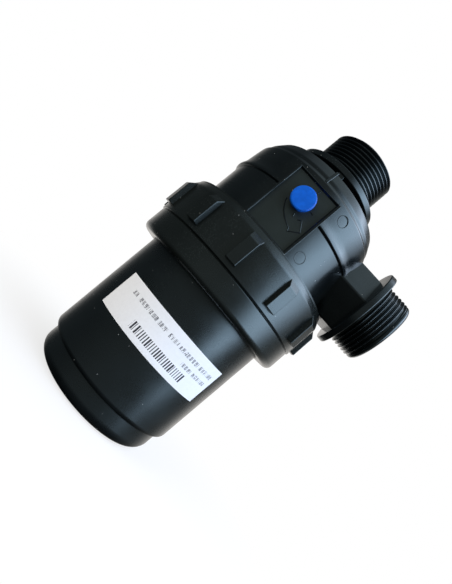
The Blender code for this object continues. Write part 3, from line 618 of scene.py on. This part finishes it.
def build_head(black, textured, smooth):
    """The head's pieces, all of one moulding, with a textured finish on the framed panel."""
    dress(head_shell(), "head", black, "head_casing")
    panel = dress(panel_frame(), "head", black)
    panel.data.materials.append(textured)
    for face in panel.data.polygons:
        if face.normal.y < -0.99 and face.center.y > -(PANEL_FLOOR + 0.3) * MM:
            face.material_index = 1
    dress(side_neck(), "head", black)
    flange = [(PORT_BORE, SIDE_FLANGE_BACK - 1.0), (SIDE_FLANGE_RADIUS, SIDE_FLANGE_BACK, 0.6),
              (SIDE_FLANGE_RADIUS, SIDE_FLANGE_FACE, 0.6), (PIPE_ROOT, SIDE_FLANGE_FACE, 0.3)]
    plain_end = [(PIPE_ROOT, SIDE_END - 3.0, 0.2), (20.5, SIDE_END - 2.4, 0.2), (20.5, SIDE_END - 1.2, 0.5),
                 (19.3, SIDE_END, 0.4), (PORT_BORE, SIDE_END, 0.6)]
    dress(turned("side_port_end", flange + plain_end, 128, ALONG_SIDE_PORT), "head", black)
    side_thread = port_thread("side_port_thread", 60.8, 73.9, 0.4, ALONG_SIDE_PORT)
    dress(side_thread, "head", smooth, crease=THREAD_CREASE)
    axial_thread = port_thread("axial_port_thread", 175.9, 196.7, 1.3)
    dress(axial_thread, "head", smooth, crease=THREAD_CREASE)
    web = [(21.5, 154.5), (35.1, 154.5), (35.1, 163.5), (26.6, 164.5), (26.6, 171.6), (21.5, 171.6)]
    webs = repeated(prism("rim_webs", web, -2.0, 2.0, standing_at_front, 0.3), WEB_COUNT)
    dress(webs, "head", black)
    tab = [(35.1, 155.6), (42.3, 155.1), (38.8, 164.0), (37.0, 165.2), (35.1, 165.2)]
    dress(prism("rim_tab", tab, -0.8, 0.8, standing_at_front, 0.25), "head", black)
    dress(coarse_thread("skirt_thread", 45.0, 1, 94.8), "head", black)
    dress(flow_arrow(), "head", black)
    dress(ejector_mark("ejector_mark_low", 26.1, 122.6), "head", black)
    dress(ejector_mark("ejector_mark_high", 26.5, 149.6), "head", black)
    ticks = [("tick_above", [(1.5, 146.8), (2.3, 149.9)]), ("tick_right", [(6.6, 139.7), (8.2, 139.4)]),
             ("tick_below", [(2.1, 133.6), (2.6, 132.0)])]
    for name, points in ticks:
        dress(raised_line(name, on_floor(points), 0.32), "head", black)


def build_nut(black):
    """The ring nut with its lugs and coarse inner thread."""
    bottom_lip = [(43.1, 85.6, 0.3), (43.1, 78.4, 0.8), (51.3, 78.4, 3.4)]
    groove = [(51.3, 91.3, 0.25), (50.7, 91.8, 0.15), (52.0, 92.3, 0.3)]
    top = [(52.0, 111.6, 0.8), (50.2, 114.9, 0.3), (49.9, 115.1, 0.1), (49.9, 116.0, 0.25)]
    inner_wall = [(47.6, 116.0, 0.4), (47.6, 85.6, 0.3)]
    body = turned("nut_body", bottom_lip + groove + top + inner_wall, 192)
    dress(body, "nut", black, "ring_nut")
    lug = prism("nut_lugs", [(50.6, 94.9), (54.7, 94.9), (54.7, 108.6), (50.6, 113.2)],
                -LUG_HALF, LUG_HALF, standing_at_front)
    bm = bmesh.new()
    bm.from_mesh(lug.data)
    for vert in bm.verts:
        if vert.co.y < -53.0 * MM:
            vert.co.x *= LUG_TOP_HALF / LUG_HALF
    bmesh.ops.bevel(bm, geom=bm.edges[:], offset=0.32 * MM, segments=3, profile=0.5, affect="EDGES",
                    clamp_overlap=True, material=-1)
    bm.to_mesh(lug.data)
    bm.free()
    dress(repeated(lug, LUG_COUNT, LUG_PHASE), "nut", black)
    dress(coarse_thread("nut_thread", 48.1, -1, 98.2), "nut", black)


def build_bowl(black, paper):
    """The bowl and its label."""
    outside = [(0.0, 0.0), (38.7, 0.0, 6.6), (38.7, 13.7, 0.5), (41.6, 13.7, 2.7),
               (BOWL_RADIUS, BOWL_WALL_TOP, 0.4)]
    flange = [(47.1, BOWL_WALL_TOP, 0.5), (47.1, 90.9, 0.5), (42.6, 90.9, 0.2)]
    seal_groove = [(42.6, 92.1, 0.2), (40.4, 92.1, 0.2), (40.4, 95.5, 0.2), (42.6, 95.5, 0.2)]
    inside = [(42.6, 97.7, 0.5), (39.5, 97.7, 0.5), (38.8, 18.5, 1.0), (35.9, 13.7, 1.0), (35.9, 3.0, 3.6)]
    centring_ring = [(31.4, 3.0), (31.4, 8.0, 0.5), (29.4, 8.0, 0.5), (29.4, 3.0), (0.0, 3.0)]
    body = turned("bowl_body", outside + flange + seal_groove + inside + centring_ring, 192)
    dress(body, "bowl_set", black, "bowl")
    dress(label_sheet(), "bowl_set", paper, "label")


def build_plug(blue):
    """The round blue plug: a soft-edged button over a narrower foot and stem."""
    out_of_front = Matrix.Translation((0.0, 0.0, PLUG_LEVEL * MM)) @ Matrix.Rotation(math.pi / 2, 4, "X")
    stem = [(0.0, 41.5), (4.0, 41.5, 0.2), (4.0, 42.5)]
    foot = [(5.2, 42.5), (5.2, 45.0, 0.3)]
    button = [(PLUG_RADIUS, 45.3, 0.3), (PLUG_RADIUS, PLUG_FACE - 0.1, 0.7),
              (PLUG_RADIUS - 1.6, PLUG_FACE, 0.8), (0.0, PLUG_FACE)]
    plug = turned("blue_button", stem + foot + button, 96, out_of_front)
    dress(plug, "head", blue, "colour_plug")


def refinish(frame):
    """Give the inner solids, whose shapes stay, their detailed materials."""
    looks = {"cartridge_cage": grey_cage_plastic(), "mesh_sleeve": woven_steel(),
             "bowl_seal": seal_rubber("bowl_seal_rubber", (0.02, 0.02, 0.02)),
             "cartridge_seal": seal_rubber("cartridge_seal_rubber", (0.025, 0.025, 0.025))}
    for name, look in looks.items():
        for slot in frame["nodes"][name].material_slots:
            slot.material = look


def place_camera():
    """A camera as close to the filter as the photograph's, rolled as it was."""
    turn = Vector(CAMERA_TURN)
    base = Matrix((CAMERA_RIGHT, CAMERA_DOWN, (0.0, 1.0, 0.0)))
    rows = Matrix.Rotation(turn.length, 3, turn.normalized()) @ base
    right, down, forward = (Vector(row).normalized() for row in rows)
    data = bpy.data.cameras.new("photo_camera")
    data.sensor_width = SENSOR_WIDTH
    data.sensor_fit = "AUTO"
    data.lens = SENSOR_WIDTH * FOCAL_LENGTH / PICTURE_HEIGHT
    data.clip_start = 0.01
    camera = bpy.data.objects.new("photo_camera", data)
    bpy.context.collection.objects.link(camera)
    placed = Matrix((right, -down, -forward)).transposed().to_4x4()
    placed.translation = Vector(CAMERA_PLACE) * MM
    camera.matrix_world = placed
    bpy.context.scene.camera = camera


def studio_world():
    """Dim room with one soft bluish window at the right, a soft ceiling and a white wall behind."""
    world = bpy.data.worlds.new("studio")
    bpy.context.scene.world = world
    world.use_nodes = True
    sky = Nodes(world.node_tree)
    split = sky.add("ShaderNodeSeparateXYZ")
    sky.join(sky.add("ShaderNodeTexCoord").outputs["Generated"], split.inputs[0])
    across, inwards, rise = split.outputs
    azimuth = sky.solve("ARCTAN2", across, sky.solve("MULTIPLY", inwards, -1.0))
    height = sky.solve("ARCSINE", rise)

    def ramp(value, dark, bright):
        """Rise from nothing to one between two angles in degrees."""
        return sky.spread(value, math.radians(dark), math.radians(bright))

    beside = sky.solve("ABSOLUTE", sky.solve("SUBTRACT", azimuth, math.radians(WINDOW_AZIMUTH)))
    above_sill = sky.solve("SUBTRACT", height, sky.solve("MULTIPLY", beside, SILL_SLOPE))
    above_lean = sky.solve("MAXIMUM", sky.solve("SUBTRACT", height, math.radians(LEAN_START)), 0.0)
    leaning = sky.solve("SUBTRACT", azimuth, sky.solve("MULTIPLY", above_lean, LEAN_SLOPE))
    window = sky.solve("MINIMUM", ramp(azimuth, 8.0, 62.0), ramp(leaning, 118.0, 76.0))
    window = sky.solve("MULTIPLY", window, ramp(above_sill, -23.0, -5.0))
    window = sky.solve("MULTIPLY", window, ramp(height, 88.0, 55.0))
    window = sky.solve("POWER", window, WINDOW_SOFTNESS)
    ceiling = ramp(height, 52.0, 95.0)
    wall = sky.solve("MULTIPLY", ramp(sky.solve("ABSOLUTE", azimuth), 122.0, 152.0),
                     ramp(sky.solve("ABSOLUTE", height), 30.0, 14.0))
    low = sky.spread(height, math.radians(-45.0), math.radians(-20.0), 0.12, 1.0)
    room = sky.blend(ramp(azimuth, -80.0, -15.0), (*DARK_SIDE, 1.0), (*ROOM_LIGHT, 1.0))
    light = sky.blend(low, (0.0, 0.0, 0.0, 1.0), room)
    for mask, colour in ((window, WINDOW_LIGHT), (ceiling, CEILING_LIGHT), (wall, WALL_LIGHT)):
        light = sky.blend(mask, light, (*colour, 1.0))
    seen = sky.add("ShaderNodeLightPath").outputs["Is Camera Ray"]
    sky.join(sky.blend(seen, light, (1.0, 1.0, 1.0, 1.0)), sky.tree.nodes["Background"].inputs["Color"])


def left_fill():
    """Soft lamp at the left that lifts the paper's left part and leaves no highlight on the plastic."""
    data = bpy.data.lights.new("left_fill", "AREA")
    data.size = FILL_SIZE
    data.energy = FILL_POWER
    data.color = FILL_COLOUR
    lamp = bpy.data.objects.new("left_fill", data)
    bpy.context.collection.objects.link(lamp)
    lamp.location = FILL_PLACE
    lamp.rotation_euler = (Vector(FILL_TARGET) - Vector(FILL_PLACE)).to_track_quat("-Z", "Y").to_euler()
    lamp.visible_glossy = False


def white_floor():
    """Pale floor that keeps the filter's shadow and turns plain white away from it."""
    bm = bmesh.new()
    bmesh.ops.create_grid(bm, x_segments=2, y_segments=2, size=FLOOR_HALF)
    floor = to_object("white_floor", bm)
    look = Shader("floor_white")
    look.surface.inputs["Base Color"].default_value = (0.85, 0.85, 0.85, 1.0)
    look.surface.inputs["Roughness"].default_value = 0.9
    away = look.add("ShaderNodeVectorMath", operation="LENGTH")
    look.join(look.place, away.inputs[0])
    glow = look.add("ShaderNodeEmission")
    mix = look.add("ShaderNodeMixShader")
    white = look.spread(away.outputs["Value"], SHADOW_NEAR, SHADOW_FAR, SHADOW_WHITE, 1.0)
    look.join(white, mix.inputs[0])
    look.join(look.surface.outputs[0], mix.inputs[1])
    look.join(glow.outputs[0], mix.inputs[2])
    look.join(mix.outputs[0], look.tree.nodes["Material Output"].inputs["Surface"])
    floor.data.materials.append(look.material)
    floor.visible_diffuse = False
    floor.visible_glossy = False
    floor.visible_shadow = False


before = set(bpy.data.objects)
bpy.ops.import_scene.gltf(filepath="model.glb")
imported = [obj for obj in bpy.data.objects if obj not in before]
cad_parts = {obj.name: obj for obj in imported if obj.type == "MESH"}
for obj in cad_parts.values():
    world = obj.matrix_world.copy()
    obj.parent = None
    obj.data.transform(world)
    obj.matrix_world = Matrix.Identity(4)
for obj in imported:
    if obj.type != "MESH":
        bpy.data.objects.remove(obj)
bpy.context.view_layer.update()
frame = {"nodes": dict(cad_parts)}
place_camera()
black_head = moulded_black("black_head_plastic", (0.0022, 0.003, 0.0034), 0.21, 0.012)
black_nut = moulded_black("black_nut_plastic", (0.0042, 0.0052, 0.0048), 0.25, 0.015)
black_bowl = moulded_black("black_bowl_plastic", (0.003, 0.004, 0.0045), 0.28, 0.02)
textured_panel = moulded_black("black_panel_plastic", (0.0085, 0.0108, 0.0092), 0.42, 0.03)
smooth_thread = moulded_black("black_thread_plastic", (0.0018, 0.0024, 0.003), 0.2, 0.002)
build_head(black_head, textured_panel, smooth_thread)
build_nut(black_nut)
build_bowl(black_bowl, label_paper())
build_plug(blue_plug_plastic())
refinish(frame)
studio_world()
left_fill()
white_floor()
bpy.context.scene.view_settings.view_transform = "Standard"
